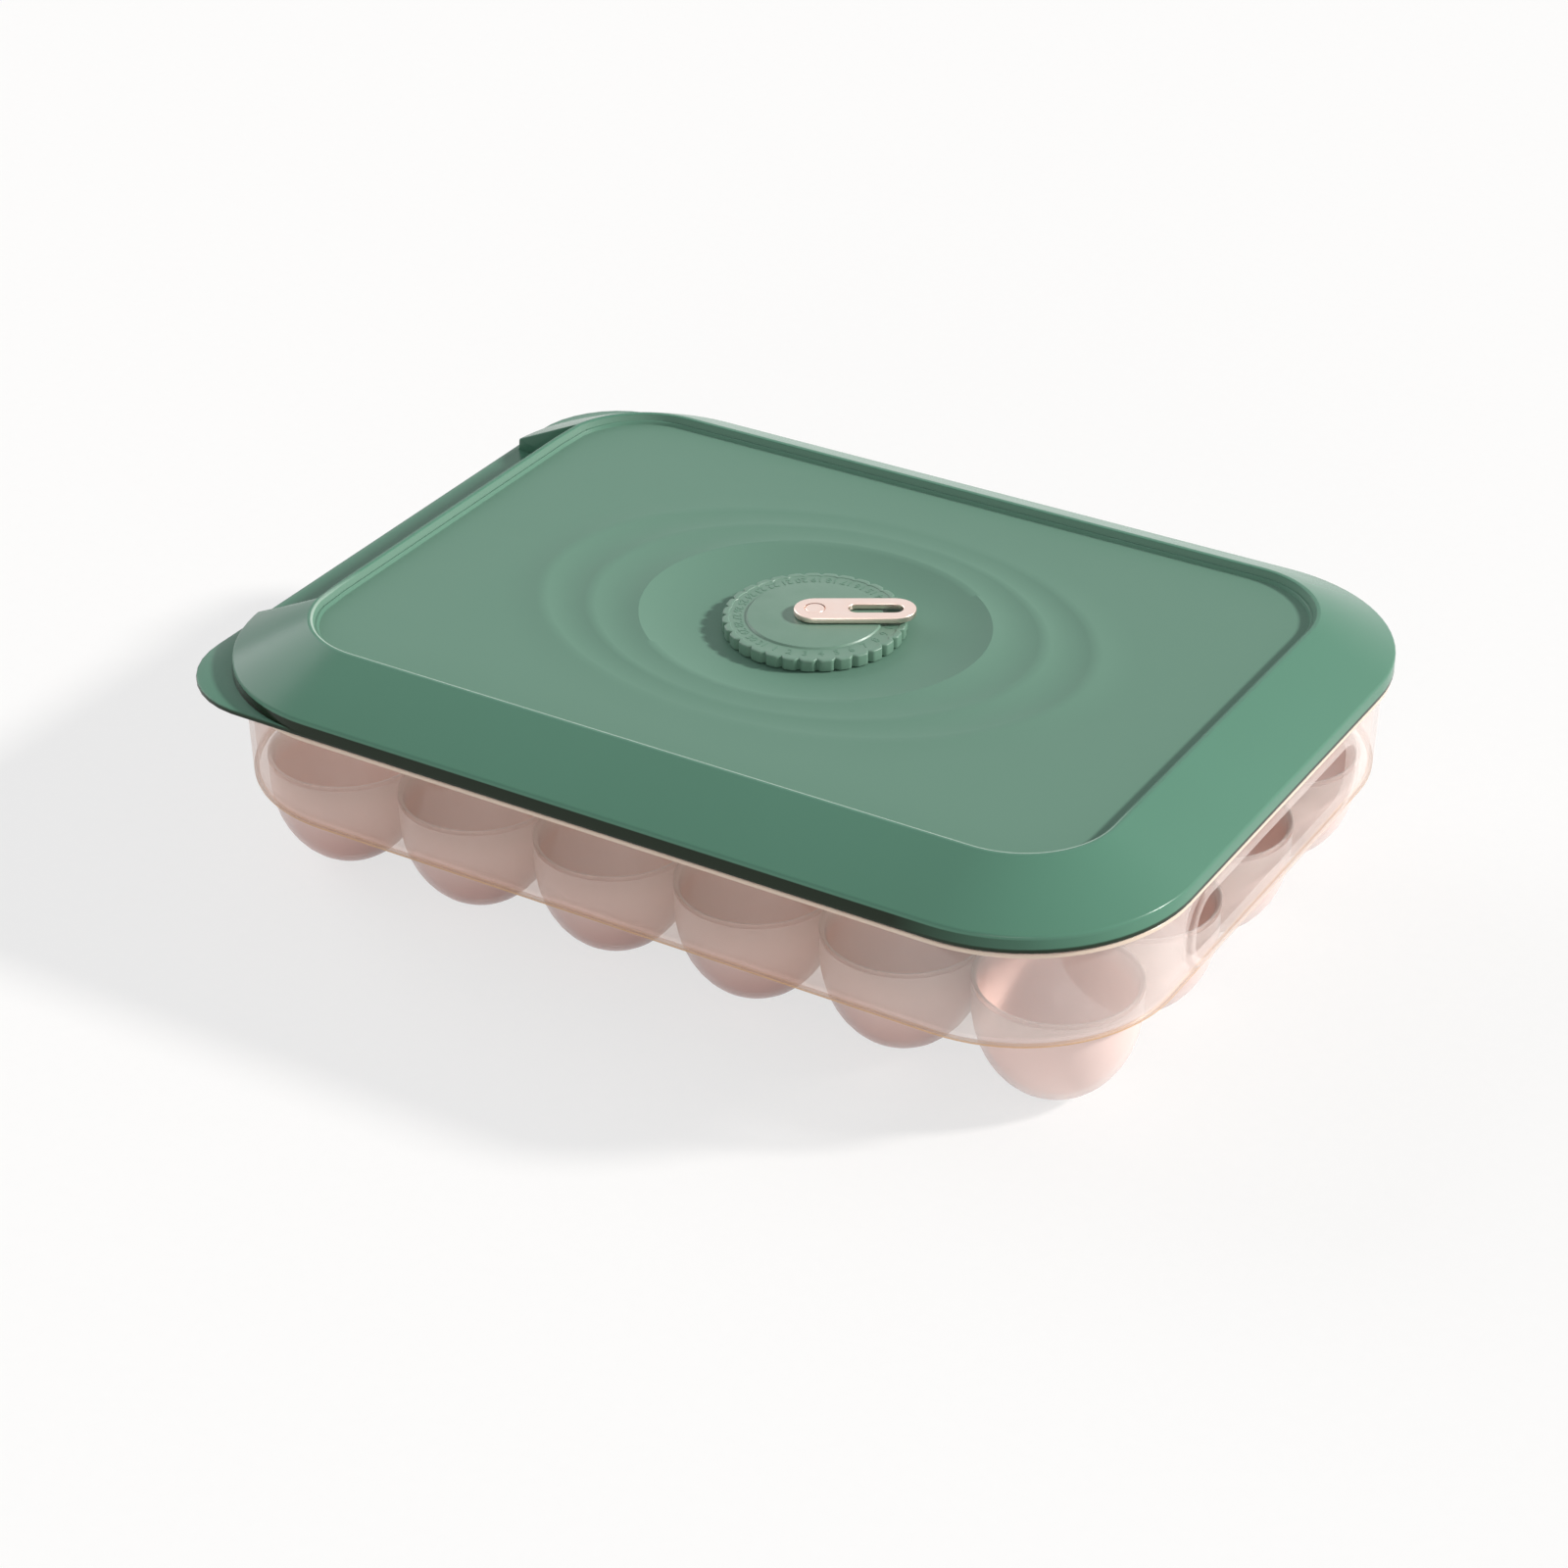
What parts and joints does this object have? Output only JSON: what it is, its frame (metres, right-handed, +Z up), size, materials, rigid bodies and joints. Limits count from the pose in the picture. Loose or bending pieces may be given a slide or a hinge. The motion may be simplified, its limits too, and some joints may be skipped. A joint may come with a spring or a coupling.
{
  "type": "egg storage box",
  "caption": "Covered egg box: a clear tray of round cups under a green sloped lid with a lifting lip and a turning date dial with a pointer.",
  "frame": {"origin": "middle of the whole box in plan, on the surface that the cups' feet stand on", "axes": "+X towards the right end, away from the lid's lifting lip; +Y towards the back; +Z up"},
  "size_m": [0.322, 0.24, 0.0868],
  "materials": {
    "clear_plastic": "clear, slightly milky, polished",
    "green_lid": "gloss on the shoulder, fine matt on the sunken panel",
    "green_dial": "fine matt with moulded day numbers",
    "plated_metal": "pale rose plating, satin",
    "spring_steel": "plain"
  },
  "bodies": {
    "tray": {"tray_wall": "clear_plastic", "egg_cup_row1_column1": "clear_plastic", "egg_cup_row1_column2": "clear_plastic", "egg_cup_row1_column3": "clear_plastic", "egg_cup_row1_column4": "clear_plastic", "egg_cup_row1_column5": "clear_plastic", "egg_cup_row1_column6": "clear_plastic", "egg_cup_row2_column1": "clear_plastic", "egg_cup_row2_column2": "clear_plastic", "egg_cup_row2_column3": "clear_plastic", "egg_cup_row2_column4": "clear_plastic", "egg_cup_row2_column5": "clear_plastic", "egg_cup_row2_column6": "clear_plastic", "egg_cup_row3_column1": "clear_plastic", "egg_cup_row3_column2": "clear_plastic", "egg_cup_row3_column3": "clear_plastic", "egg_cup_row3_column4": "clear_plastic", "egg_cup_row3_column5": "clear_plastic", "egg_cup_row3_column6": "clear_plastic", "egg_cup_row4_column1": "clear_plastic", "egg_cup_row4_column2": "clear_plastic", "egg_cup_row4_column3": "clear_plastic", "egg_cup_row4_column4": "clear_plastic", "egg_cup_row4_column5": "clear_plastic", "egg_cup_row4_column6": "clear_plastic"},
    "lid": {"lid": "green_lid", "pivot_pin": "plated_metal", "retaining_washer": "spring_steel"},
    "dial": {"date_dial": "green_dial"},
    "pointer": {"dial_pointer": "plated_metal"}
  },
  "joints": [
    {"name": "lid_lift", "type": "slide", "parent": "tray", "child": "lid", "axis": [0, 0, 1], "range_m": [0, 0.1]},
    {"name": "dial_spin", "type": "hinge", "parent": "lid", "child": "dial", "pos_m": [0.001, 0, 0.081], "axis": [0, 0, 1], "continuous": true},
    {"name": "pointer_spin", "type": "hinge", "parent": "lid", "child": "pointer", "pos_m": [0.001, 0, 0.0845], "axis": [0, 0, 1], "continuous": true}
  ]
}
